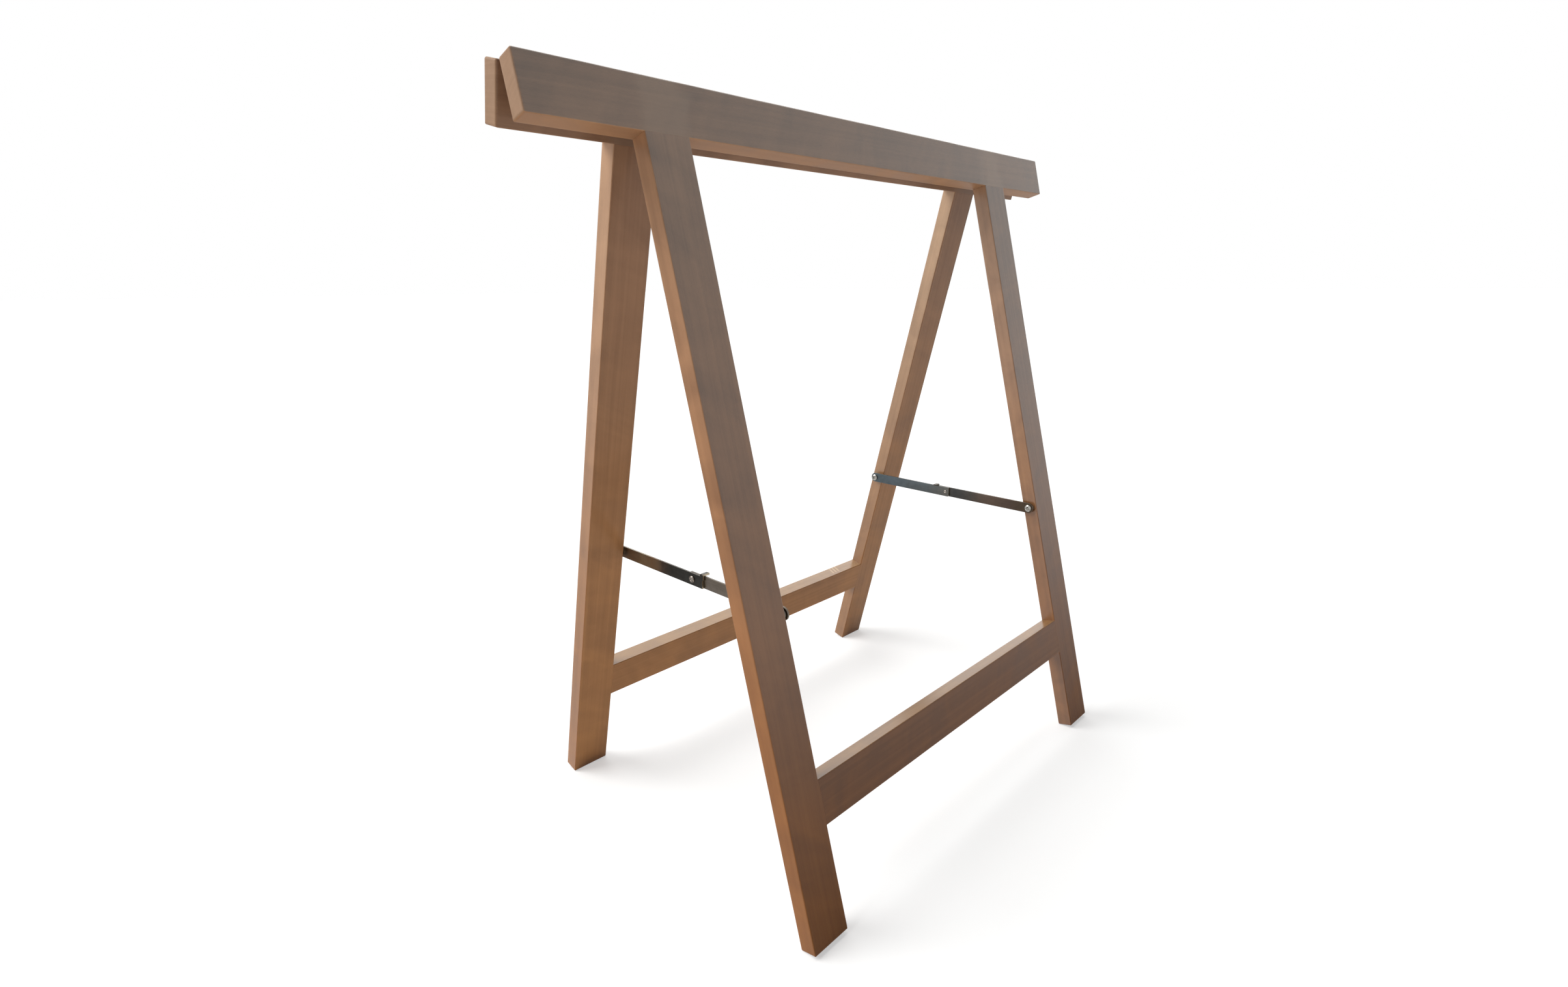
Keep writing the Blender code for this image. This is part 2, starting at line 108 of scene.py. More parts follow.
def skin(rings, wrap=False):
    # A grid of rings x points: quads between neighbouring rings, and a face over the first and last ring.
    # Where the volume, a sum of triple products about the middle, is negative, every face is turned round.
    count, points = rings.shape[:2]
    i, j = np.meshgrid(np.arange(count if wrap else count - 1), np.arange(points), indexing="ij")
    nextRing, nextPoint = (i + 1) % count, (j + 1) % points
    quads = np.stack([i * points + j, i * points + nextPoint,
                      nextRing * points + nextPoint, nextRing * points + j], -1).reshape(-1, 4)
    verts = rings.reshape(-1, 3)
    faces = quads.tolist()
    if not wrap:
        faces += [list(range(points))[::-1], list(range((count - 1) * points, count * points))]
    a, b, c, d = (verts[quads[:, k]] - verts.mean(axis=0) for k in range(4))
    volume = np.einsum("ij,ij->", np.cross(a, b), c) + np.einsum("ij,ij->", np.cross(a, c), d)
    if volume < 0:
        faces = [face[::-1] for face in faces]
    return verts, faces


def joined(shells):
    # Several shells as one: their points one after another, and each face's indices moved on to match
    verts, faces, start = [], [], 0
    for points, loops in shells:
        verts.append(points)
        faces += [[index + start for index in loop] for loop in loops]
        start += len(points)
    return np.concatenate(verts), faces


def addPiece(name, shell, place, materials, slots=None):
    # The shell's points are turned and moved to their place in the mesh, so the object stays at the origin
    verts, faces = shell
    turn = np.array(place.to_3x3())
    mesh = bpy.data.meshes.new(name)
    mesh.from_pydata((verts @ turn.T + np.array(place.translation)).tolist(), [], faces)
    for material in materials:
        mesh.materials.append(material)
    if slots is not None:
        mesh.polygons.foreach_set("material_index", slots)
    mesh.shade_smooth()
    mesh.set_sharp_from_angle(angle=sharpAngle)
    mesh.update()
    return newObject(name, mesh)


def newObject(name, data):
    made = bpy.data.objects.new(name, data)
    bpy.context.scene.collection.objects.link(made)
    return made


def standFor(piece, node, body):
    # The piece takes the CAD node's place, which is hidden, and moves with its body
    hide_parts(node)
    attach(piece, body)


view = {
    "place": (-0.665104, -0.567065, 0.572162),
    "turn": (73.01018, 0.43863, -46.13921),
    "lens": 17.497156,
    "sensor": 36,
    "shift": (-0.0078408, 0.0150351),
    "farthest": 200,
}
camera = newObject("camera", bpy.data.cameras.new("camera"))
camera.location = view["place"]
camera.rotation_euler = [math.radians(angle) for angle in view["turn"]]
camera.data.sensor_width = view["sensor"]
camera.data.lens = view["lens"]
camera.data.shift_x, camera.data.shift_y = view["shift"]
camera.data.clip_end = view["farthest"]
bpy.context.scene.camera = camera
bpy.context.scene.view_settings.view_transform = "Standard"

studio = {
    # towards the light, its strength and how many degrees across it is
    "lamps": {"left_lamp": ((-0.55, 0.45, 0.7), 2.9, 45), "back_lamp": ((0.54, 0.43, 0.72), 0.8, 60),
              "top_lamp": ((0, 0.3, 0.95), 0.9, 40)},
    "ambient": "#2e2f31",  # what only diffuse light gathers
    "white": "#ffffff",    # what is seen behind the trestle and in its gloss
    "floorSeen": "#c9c9c8",
    "floorGlow": 0.5,      # makes up to white where the floor is seen
    "floorBounce": "#e2d8cb",
    "floorRoughness": 0.9,
    "floorHalf": 60,
}
for name, (towards, strength, across) in studio["lamps"].items():
    lamp = newObject(name, bpy.data.lights.new(name, "SUN"))
    lamp.data.energy = strength
    lamp.data.angle = math.radians(across)
    lamp.rotation_euler = Vector(towards).to_track_quat("Z", "Y").to_euler()


def plainRays(tree):
    # 1 where the camera, a reflection or a refraction looks, 0 where only diffuse light is gathered
    rays = addNode(tree, "LightPath")
    seen = addNode(tree, "Math", greater, {0: (rays, "Is Camera Ray"), 1: (rays, "Is Glossy Ray")})
    return addNode(tree, "Math", greater, {0: (seen, 0), 1: (rays, "Is Transmission Ray")})


world = bpy.data.worlds.new("studio")
world.use_nodes = True
world.node_tree.nodes.clear()
bpy.context.scene.world = world
look = plainRays(world.node_tree)
mixed = addNode(world.node_tree, "Mix", colourMix, {
    "Factor": (look, 0), "A": linear(studio["ambient"]), "B": linear(studio["white"])})
sky = addNode(world.node_tree, "Background", inputs={"Color": (mixed, "Result")})
addNode(world.node_tree, "OutputWorld", inputs={"Surface": (sky, 0)})

# Matt painted floor: no sheen, white to the camera, and a little warm in the light that it throws up
floorMaterial, tree = newMaterial("matt_white_floor")
look = plainRays(tree)
mixed = addNode(tree, "Mix", colourMix, {
    "Factor": (look, 0), "A": linear(studio["floorBounce"]), "B": linear(studio["floorSeen"])})
glow = addNode(tree, "Math", times, {0: (look, 0), 1: studio["floorGlow"]})
shader = addNode(tree, "BsdfPrincipled", inputs={
    "Base Color": (mixed, "Result"), "Roughness": studio["floorRoughness"], "Specular IOR Level": 0.0,
    "Emission Color": linear(studio["white"]), "Emission Strength": (glow, 0)})
addNode(tree, "OutputMaterial", inputs={"Surface": (shader, "BSDF")})
floorMesh = bpy.data.meshes.new("floor")
half = studio["floorHalf"]
corners = [(-half, -half, 0), (half, -half, 0), (half, half, 0), (-half, half, 0)]
floorMesh.from_pydata(corners, [], [(0, 1, 2, 3)])
floorMesh.materials.append(floorMaterial)
newObject("floor", floorMesh)
print("camera, floor and light are set")


beech = {
    # the brown and the pale that the grain runs between
    "inner": ("#977358", "#bf9574"),
    "outer": ("#685341", "#987b64"),  # outer faces: painted shade that darkens them, and painted sheen that greys them
    "top": ("#a39175", "#c9b99b"),  # upward faces: painted light from above and painted sheen, paler and greyer
    "end": ("#997c65", "#b3937b"),  # sawn ends
    "underside": "#7a5c45",        # shades the downward faces
    "topShare": 0.7,
    "undersideShare": 0.4,
    # cosines between which a face starts to count, and counts whole, as facing that way
    "facingOut": (0.5, 0.95),
    "facingUp": (0.7, 0.95),
    "narrowSide": (0.6, 0.2),      # as the others, but away from the outer face's direction
    # colours that multiply the wood's, painting light and shade by height
    "footPaintedShade": "#d4b68a",         # painted shade at the feet, darker and warmer
    "innerFootPaintedWarmth": "#fff0c9",    # the same on the inner faces, milder: painted warm light
    "topTint": "#ffffff",          # high up
    "innerTopPaintedCool": "#e2e9f8",     # high up on the inner faces, cooler: painted cool light
    "footReach": (0.1, 0.75),      # heights between which the painted shade at the feet fades out
    # the patterns: their cells' length and width in metres, their detail and their distortion
    "figure": (0.0792, 0.036, 2.5, 0.6),  # soft slanting bands
    "streak": (0.45, 0.007, 2.5, 0.25),  # long faint streaks
    "wander": (0.2, 0.05, 1.0, 0.0),  # of the growth lines
    "fleck": (0.0045, 0.0005, 1.0, 0.0),  # drawn twice as coarse as real ray flecks, to show
    "fleckLimits": (0.56, 0.72),   # the noise's values between which a fleck deepens
    "figureSlant": (0.9, 1.2),     # radians
    "streakSlant": 0.02,
    "shift": 3.0,                  # half the range of the boards' places in the patterns
    "rings": 0.0032,               # spacing of the growth lines
    "ringWander": 0.008,
    "heartAside": 0.03,            # the tree's middle, from the board's
    "heartAway": (0.07, 0.11),
    "weights": (1.35, 0.85, 0.3, -0.12),  # of the figure, streaks, rings and flecks
    "endWeights": (0.2, 0.5, 0.5, -0.12),
    "endTone": 0.4,                # how much of the board's tone a sawn end has
    # where a rail was sanded across the grain, flush with a leg
    "sanded": "#a8927f",
    "sandedShare": 0.38,
    "sandedWaver": 0.05,           # how far the figure moves the band's edge
    "sandedEdge": (0.034, 0.018),  # past the leg's half width, with the half of the waver that it has
    # whitish rub marks across a top edge
    "rubbed": "#f0e6d8",
    "rubbedShare": 0.95,
    "rubPitch": 0.0062,
    "rubReach": 0.0088,            # half the length that the marks take up
    "rubEdge": 0.0015,
    "rubSlant": -0.2,
    "rubWave": (-0.5, 0.6),        # the cosine's values between which a mark whitens
    "rubFade": (0.006, 0.002),     # places across the edge between which they come up
    # the surface
    "roughness": (0.41, 0.51),     # where the figure is low and where it is high
    "endRoughness": (0.41, 0.65),
    "specular": 0.1,               # bare wood under the lacquer
    "relief": 0.0001,
    "reliefStrength": 0.3,
    "fleckRelief": -0.5,           # of the streaks' relief
    "lacquerRoughness": 0.25,
    "lacquerIor": 1.7,
    "insideLacquer": 0.2,
    "lacquerWorn": (-0.08, 0.5),   # heights between which the feet's worn lacquer becomes whole
}
noiseMiddle = (0.3, 0.7)    # the values that most of a noise lies between


def beechMaterial(name, place, seed, tone, sideLacquer=0.0, sidePaintedLight=0.0, rubbedAt=None, sandedAt=None,
                  endGrain=False):
    # Lacquered beech, planed and sanded: close grain under a satin sheen, soft slanting bands, long faint
    # streaks and short dark flecks
    material, tree = newMaterial(name)
    rng = np.random.default_rng(seed)
    shift = Vector(rng.uniform(-beech["shift"], beech["shift"], 3))
    coords = addNode(tree, "TexCoord")
    onBoard = addNode(tree, "Mapping", {"vector_type": "TEXTURE"}, {
        "Vector": (coords, "Object"), "Location": place.translation, "Rotation": place.to_euler()})
    moved = addNode(tree, "VectorMath", {"operation": "ADD"}, {0: (onBoard, 0), 1: shift})

    def grain(kind, slant=0.0):
        # noise whose cells have the kind's length and width; slant leans them across the board
        length, width, detail, distortion = beech[kind]
        turned = addNode(tree, "Mapping", {"vector_type": "POINT"}, {
            "Vector": (moved, 0), "Rotation": (0, slant, 0)})
        scaled = addNode(tree, "VectorMath", times, {
            0: (turned, 0), 1: (1 / length, 1 / width, 1 / width)})
        return addNode(tree, "TexNoise", inputs={
            "Vector": (scaled, 0), "Scale": 1.0, "Detail": detail, "Roughness": 0.5,
            "Distortion": distortion})

    figure = grain("figure", rng.choice([-1, 1]) * rng.uniform(*beech["figureSlant"]))
    streaks = grain("streak", rng.uniform(-beech["streakSlant"], beech["streakSlant"]))
    # growth lines are shells round the tree's middle: the distance from it, over their spacing, moves a noise
    heart = Vector((0, rng.uniform(-beech["heartAside"], beech["heartAside"]),
                    rng.choice([-1, 1]) * rng.uniform(*beech["heartAway"])))
    wander = addNode(tree, "VectorMath", times, {
        0: (grain("wander"), "Color"), 1: (0, beech["ringWander"], beech["ringWander"])})
    fromHeart = addNode(tree, "VectorMath", less, {0: (onBoard, 0), 1: heart})
    inSection = addNode(tree, "VectorMath", timesPlus, {0: (fromHeart, 0), 1: (0, 1, 1), 2: (wander, 0)})
    radius = addNode(tree, "VectorMath", {"operation": "LENGTH"}, {0: (inSection, 0)})
    ringCount = addNode(tree, "Math", {"operation": "DIVIDE"}, {0: (radius, "Value"), 1: beech["rings"]})
    rings = addNode(tree, "TexNoise", {"noise_dimensions": "1D"}, {
        "W": (ringCount, 0), "Scale": 1.0, "Detail": 2.0, "Roughness": 0.6})
    flecks = addNode(tree, "MapRange", inputs={
        "Value": (grain("fleck"), "Fac"), fromPair: beech["fleckLimits"]})

    # the weighted sum of the patterns, about 0.5 on average
    weights = beech["endWeights"] if endGrain else beech["weights"]
    total = tone * (beech["endTone"] if endGrain else 1.0) + 0.5 - sum(weights[:3]) / 2
    for layer, weight in zip(((figure, "Fac"), (streaks, "Fac"), (rings, "Fac"), (flecks, 0)), weights):
        total = (addNode(tree, "Math", timesPlus, {0: layer, 1: weight, 2: total}), 0)

    # how far a face counts as facing each way, from the cosine between its normal and that way
    around = addNode(tree, "VectorMath", {"operation": "DOT_PRODUCT"}, {
        0: (coords, "Normal"), 1: place.to_3x3() @ outerFace})
    eitherWay = addNode(tree, "Math", positive, {0: (around, "Value")})
    normal = addNode(tree, "SeparateXYZ", inputs={0: (coords, "Normal")})
    facing = {}
    for way, cosine, sign, limits, most in (
            ("outside", (around, "Value"), 1, beech["facingOut"], 1.0),
            ("inside", (around, "Value"), -1, beech["facingOut"], 1.0),
            ("narrow", (eitherWay, 0), 1, beech["narrowSide"], 1.0),
            ("upward", (normal, "Z"), 1, beech["facingUp"], beech["topShare"]),
            ("downward", (normal, "Z"), -1, beech["facingUp"], beech["undersideShare"])):
        facing[way] = (addNode(tree, "MapRange", inputs={
            "Value": cosine, fromPair: (sign * limits[0], sign * limits[1]), "To Max": most}), 0)
    height = addNode(tree, "SeparateXYZ", inputs={0: (coords, "Object")})
    upper = addNode(tree, "MapRange", smoothly, {
        "Value": (height, "Z"), fromPair: beech["footReach"]})

    shades = {}
    for side in ("end",) if endGrain else ("inner", "outer", "top"):
        brown, pale = beech[side]
        shades[side] = (addNode(tree, "Mix", colourMix, {
            "Factor": total, "A": linear(brown), "B": linear(pale)}), "Result")
    colour, layers = shades["end" if endGrain else "inner"], []
    if not endGrain:
        # painted shade and painted sheen: the outer faces take the darker, greyer colours, fading out towards
        # the feet
        share = addNode(tree, "Math", times, {0: facing["outside"], 1: (upper, 0)})
        # painted light and painted sheen: the upward faces' colours on upward faces and on a share of the
        # narrow sides
        paintedTopLight = addNode(tree, "Math", timesPlus, {0: facing["narrow"], 1: sidePaintedLight, 2: facing["upward"]})
        layers += [((share, 0), shades["outer"]), ((paintedTopLight, 0), shades["top"]),
                   (facing["downward"], linear(beech["underside"]))]
    along = addNode(tree, "SeparateXYZ", inputs={0: (onBoard, 0)})
    if sandedAt:
        # whole over each joint: how far |x| is from the joint's middle, moved by the figure, over a soft edge
        middle, half = sandedAt
        faded, whole = beech["sandedEdge"]
        apart = addNode(tree, "Math", positive, {0: (along, "X")})
        apart = addNode(tree, "Math", less, {0: (apart, 0), 1: middle})
        apart = addNode(tree, "Math", positive, {0: (apart, 0)})
        apart = addNode(tree, "Math", timesPlus, {0: (figure, "Fac"), 1: beech["sandedWaver"], 2: (apart, 0)})
        band = addNode(tree, "MapRange", smoothly, {
            "Value": (apart, 0), fromPair: (half + faded, half + whole), "To Max": beech["sandedShare"]})
        layers.append(((band, 0), linear(beech["sanded"])))
    if rubbedAt:
        # streaks across the board: a cosine of x - 0.2 y over the pitch, in a window, fading to one side
        slanted = addNode(tree, "Math", timesPlus, {0: (along, "Y"), 1: beech["rubSlant"], 2: (along, "X")})
        apart = addNode(tree, "Math", less, {0: (slanted, 0), 1: rubbedAt})
        phase = addNode(tree, "Math", times, {0: (apart, 0), 1: 2 * math.pi / beech["rubPitch"]})
        wave = addNode(tree, "Math", {"operation": "COSINE"}, {0: (phase, 0)})
        streak = addNode(tree, "MapRange", inputs={
            "Value": (wave, 0), fromPair: beech["rubWave"], "To Max": beech["rubbedShare"]})
        apart = addNode(tree, "Math", positive, {0: (apart, 0)})
        window = addNode(tree, "MapRange", inputs={
            "Value": (apart, 0), fromPair: (beech["rubReach"], beech["rubReach"] - beech["rubEdge"])})
        fade = addNode(tree, "MapRange", inputs={
            "Value": (along, "Y"), fromPair: beech["rubFade"]})
        for part in ((window, 0), (fade, 0), facing["upward"]):
            streak = addNode(tree, "Math", times, {0: (streak, 0), 1: part})
        layers.append(((streak, 0), linear(beech["rubbed"])))
    for share, over in layers:
        colour = (addNode(tree, "Mix", colourMix, {"Factor": share, "A": colour, "B": over}), "Result")

    # painted light and shade by height: warm painted shade at the feet, cool painted light high up on the
    # inner faces
    low = addNode(tree, "Mix", colourMix, {
        "Factor": facing["inside"], "A": linear(beech["footPaintedShade"]), "B": linear(beech["innerFootPaintedWarmth"])})
    high = addNode(tree, "Mix", colourMix, {
        "Factor": facing["inside"], "A": linear(beech["topTint"]), "B": linear(beech["innerTopPaintedCool"])})
    paintedByHeight = addNode(tree, "Mix", colourMix, {
        "Factor": (upper, 0), "A": (low, "Result"), "B": (high, "Result")})
    tinted = addNode(tree, "Mix", {"data_type": "RGBA", "blend_type": "MULTIPLY"}, {
        "Factor": 1.0, "A": colour, "B": (paintedByHeight, "Result")})

    rough = addNode(tree, "MapRange", inputs={
        "Value": (figure, "Fac"), fromPair: noiseMiddle,
        toPair: beech["endRoughness"] if endGrain else beech["roughness"]})
    # lacquer: whole on the outer face, worn off near the feet, with shares of it inside and on narrow sides
    worn = addNode(tree, "MapRange", smoothly, {
        "Value": (height, "Z"), fromPair: beech["lacquerWorn"]})
    lacquer = addNode(tree, "Math", times, {0: facing["outside"], 1: (worn, 0)})
    for way, share in () if endGrain else (("inside", beech["insideLacquer"]), ("narrow", sideLacquer)):
        lacquer = addNode(tree, "Math", timesPlus, {0: facing[way], 1: share, 2: (lacquer, 0)})
    relief = addNode(tree, "Math", timesPlus, {
        0: (flecks, 0), 1: beech["fleckRelief"], 2: (streaks, "Fac")})
    bump = addNode(tree, "Bump", inputs={
        "Height": (relief, 0), "Strength": beech["reliefStrength"], "Distance": beech["relief"]})
    shader = addNode(tree, "BsdfPrincipled", inputs={
        "Base Color": (tinted, "Result"), "Roughness": (rough, 0), "Normal": (bump, 0),
        "IOR": 1.5, "Specular IOR Level": beech["specular"], "Coat Weight": (lacquer, 0),
        "Coat Roughness": beech["lacquerRoughness"], "Coat IOR": beech["lacquerIor"]})
    addNode(tree, "OutputMaterial", inputs={"Surface": (shader, "BSDF")})
    return material


board = {
    "arris": 0.0009,               # radius of the eased long edges
    "railArris": 0.0018,           # the rails' top edges are rounder
    "endArris": 0.0018,
    "arrisWander": 0.12,           # share by which that radius wanders along the board
    "wanderWaves": (17, 53, 131),  # radians in a metre
    "wanderFall": 1.4,             # the waves weigh 1 / 1.4, 1 / 2.4 and 1 / 3.4
    "buttArris": 0.00009,          # the crisp edge of an end that butts
    "leastArris": 0.0001,
    "shoulder": 0.00001,           # what stays open at a glued joint
    "flushRun": 0.0012,            # half the length over which an arris fades at a joint
    "arcSteps": 5,
    "flushSteps": 7,
    "stationStep": 0.012,
    "endClear": 0.0008,            # from an end's arris to the first station
    "jointClear": 0.001,           # from a joint's stations to the nearest other one
    "closingInset": 0.0006,        # how much further the closing rings draw in
    "flatPoint": 0.0007,           # from an arc to the point beside it that keeps the flat flat
    "endRings": 3,                 # rings of faces that show end grain
}
fullTurn = 6.28    # radians, near enough for a random phase


def easedBoard(length, width, thickness, endRadii, seed, flush, topArris):
    # A rounded rectangle carried along X: corner centres plus r (cos, sin). Near an end at distance d
    # the whole section draws in by e = R - sqrt(R^2 - (R - d)^2), which rounds the end's arrises too.
    # flush lists (side, middle, half): there r falls to the butt's radius as a smooth step of the distance.
    rng = np.random.default_rng(seed)
    steps = board["arcSteps"]
    lowR, highR = endRadii
    quarter = np.linspace(0, math.pi / 2, steps + 1)
    nearLow = lowR * (1 - np.cos(quarter))
    nearHigh = highR * (1 - np.cos(quarter))
    count = int(length / board["stationStep"])
    inner = np.linspace(lowR + board["endClear"], length - highR - board["endClear"], count)
    for _, middle, half in flush:
        fading = half + np.linspace(-1, 1, board["flushSteps"]) * board["flushRun"]
        edges = middle + length / 2 + np.outer([-1, 1], fading).ravel()
        clear = np.min(np.abs(inner[:, None] - edges), axis=1) > board["jointClear"]
        inner = np.concatenate([inner[clear], edges])
    along = np.concatenate([[0], nearLow, np.sort(inner), length - nearHigh[::-1], [length]])

    def drawnIn(distance, radius):
        short = np.clip(radius - distance, 0, radius)
        return radius - np.sqrt(radius ** 2 - short ** 2)

    inset = np.maximum(drawnIn(along, lowR), drawnIn(length - along, highR))
    inset[[0, -1]] += board["closingInset"]
    angles = np.concatenate([quarter + k * math.pi / 2 for k in range(4)])
    corner = np.repeat(np.arange(4), steps + 1)
    signs = np.array([[1, 1], [-1, 1], [-1, -1], [1, -1]])[corner]
    phase = rng.uniform(0, fullTurn, (4, 3))
    waves = sum(np.sin(along[:, None] * wave + phase[:, k]) / (k + board["wanderFall"])
                for k, wave in enumerate(board["wanderWaves"]))
    arrises = np.array([topArris, board["arris"], board["arris"], topArris])
    radius = (arrises * (1 + board["arrisWander"] * waves))[:, corner]
    for side, middle, half in flush:
        past = np.clip((np.abs(along - length / 2 - middle) - half) / board["flushRun"] / 2 + 0.5, 0, 1)
        share = (past ** 2 * (3 - 2 * past))[:, None]
        onSide = signs[:, 0] == side
        radius[:, onSide] = board["buttArris"] + (radius[:, onSide] - board["buttArris"]) * share
    radius = np.maximum(radius - inset[:, None], board["leastArris"])
    halfW = width / 2 - inset[:, None] - radius
    halfT = thickness / 2 - inset[:, None] - radius
    z = signs[:, 0] * halfW + radius * np.cos(angles)
    y = signs[:, 1] * halfT + radius * np.sin(angles)
    # one more point a little way along the flat on both sides of each arc
    aside = np.stack([-np.sin(angles), np.cos(angles)], -1) * board["flatPoint"]
    columns = []
    for k in range(4):
        first, last = k * (steps + 1), k * (steps + 1) + steps
        columns += [(z[:, first] - aside[first, 0], y[:, first] - aside[first, 1])]
        columns += [(z[:, m], y[:, m]) for m in range(first, last + 1)]
        columns += [(z[:, last] + aside[last, 0], y[:, last] + aside[last, 1])]
    z, y = (np.stack(column, 1) for column in zip(*columns))
    x = np.repeat(along[:, None] - length / 2, z.shape[1], 1)
    return skin(np.stack([x, y, z], -1)), inset.size, z.shape[1]


# each board's seed and tone, the lacquer and the painted light and sheen on its narrow sides, and where its
# top is rubbed; the dowels share one
boardLooks = {
    "front_top_rail": {"seed": 11, "tone": -0.05},
    "back_top_rail": {"seed": 18, "tone": -0.2},
    "front_left_leg": {"seed": 25, "tone": 0.1, "sideLacquer": 0.15},
    "front_right_leg": {"seed": 32, "tone": -0.14, "sideLacquer": 1.0, "sidePaintedLight": 0.08},
    "back_left_leg": {"seed": 39, "tone": 0.22, "sideLacquer": 0.5, "sidePaintedLight": 0.1},
    "back_right_leg": {"seed": 46, "tone": 0.0, "sideLacquer": 1.0, "sidePaintedLight": 0.3},
    "front_stretcher": {"seed": 53, "tone": -0.3, "sideLacquer": 1.0},
    "back_stretcher": {"seed": 60, "tone": 0.05, "sideLacquer": 1.0, "rubbedAt": -0.1775},
    "dowels": {"seed": 5, "tone": 0.1},
}
boardHalf = trestle["boardWidth"] / 2
railBottom = trestle["railTop"] - trestle["boardWidth"]
footLevel = trestle["railTop"] - trestle["frameLength"]
legTop = railBottom - board["shoulder"]
legLength = legTop - footLevel
legMiddle = (legTop + footLevel) / 2
stretcherMiddle = footLevel + trestle["stretcherRise"] + boardHalf
upright = Matrix.Rotation(-math.pi / 2, 4, "Y")    # turns the grain from X up to Z
butt, eased = board["buttArris"], board["endArris"]
legAcross = legSide + boardHalf


def addBoard(node, body, middle, turn, length, endRadii, flush, sandedAt=None, topArris=board["arris"]):
    # The faces of the outermost rings and the two closing faces show end grain, and all others the long grain
    place = framePlaces[body.split("_")[0]] @ Matrix.Translation(middle) @ turn
    looks = boardLooks[node]
    shell, rows, points = easedBoard(length, trestle["boardWidth"], trestle["thickness"], endRadii,
                                     looks["seed"], flush, topArris)
    row = np.arange(rows - 1).repeat(points)
    atEnd = (row < board["endRings"]) | (row > rows - 2 - board["endRings"])
    slots = np.concatenate([atEnd, [True, True]]).astype(int)
    materials = [beechMaterial("lacquered_beech_" + node, place, sandedAt=sandedAt, **looks),
                 beechMaterial("sawn_beech_end_" + node, place, looks["seed"], looks["tone"], endGrain=True)]
    standFor(addPiece(node + "_board", shell, place, materials, slots), node, body)


for side, leftSign in (("front", -1), ("back", 1)):
    body = side + "_frame"
    overLegs = [(-1, sign * legAcross, boardHalf) for sign in (-1, 1)]
    addBoard(side + "_top_rail", body, (0, boardMiddle, (trestle["railTop"] + railBottom) / 2), Matrix(),
             trestle["railLength"], (eased, eased), overLegs, (legAcross, boardHalf), board["railArris"])
    for hand, sign in (("left", leftSign), ("right", -leftSign)):
        atStretcher = [(sign, stretcherMiddle - legMiddle, boardHalf)]
        addBoard(side + "_" + hand + "_leg", body, (sign * legAcross, boardMiddle, legMiddle), upright,
                 legLength, (eased, butt), atStretcher)
    addBoard(side + "_stretcher", body, (0, boardMiddle, stretcherMiddle), Matrix(),
             2 * (legSide - board["shoulder"]), (butt, butt), ())
dowelBeech = beechMaterial("turned_beech_dowel", Matrix(), **boardLooks["dowels"])
for name, thing in frame["nodes"].items():
    if "dowel" in name:
        thing.data.materials.clear()
        thing.data.materials.append(dowelBeech)
print("beech boards and dowels are made")


metal = {
    # colours along the part from its low to its high coordinate, which on the bars are painted reflections
    # and painted shade from blue-grey to brown, and which end is sheared bright, with a painted glint
    "rightPlainBar": {"along": ["#62615d", "#596063", "#53595c", "#50585d", "#4a5255"],
                      "reach": (0.0, 0.125), "end": -1},
    "rightLugBar": {"along": ["#4b4035", "#51453e", "#5d5047", "#4c4844", "#414141", "#524f4b"],
                    "reach": (-0.125, 0.017), "end": 1},
    "leftLugBar": {"along": ["#2a2926", "#262522", "#23221f", "#24221e", "#3a2e26", "#776049", "#978e79",
                             "#8f887c"], "reach": (-0.017, 0.1), "end": -1},
    "leftPlainBar": {"along": ["#5b5349", "#5e564d", "#585049"], "reach": (-0.125, 0.0), "end": 1},
    "leaf": {"along": ["#6d7173", "#777a79", "#6a6e70"], "reach": (-0.375, 0.375), "end": 0},
    "colourWaver": 0.16,          # how far those colours shift along, as a share of the length
    "colourPatches": 28.0,        # per metre, so about 36 mm across
    "rubbedEdge": "#8b8378",      # the long edges, rubbed a little
    "rubbedShare": 0.25,
    "rubbedFacing": (0.85, 0.3),  # cosines between which a face turns from the flat to an edge
    "shearedEnd": "#bcae97",      # the ends, sheared after plating, paler still as a painted glint
    "shearedShare": 0.85,
    "shearedFacing": (0.6, 0.9),
    "rollMark": 0.0012,           # width of the rolling streaks, drawn coarse to show
    "rollLength": 0.06,
    "rollRelief": 0.00002,
    "mark": 0.006,                # size of the dull handling marks
    "markLimits": (0.6, 1.4),     # the sums of streaks and marks between which the colour lightens
    "markLightness": (0.86, 1.16),
    "platedRoughness": (0.40, 0.28),  # in the handling marks and between them
    "bright": ("#77736c", "#b9b7b2"),  # dull and shiny
    "rivet": ("#544d46", "#98918a"),
    "pits": 900.0,                # per metre, so about 1.1 mm apart, drawn coarse to show
    "clouds": 250.0,              # per metre, so 4 mm across
    "pitLimits": (0.12, 0.34),    # the products of pits and clouds between which dull turns to shiny
    "pitRelief": 0.00004,
    "brightRoughness": (0.38, 0.18),
    "reliefStrength": 0.2,
}


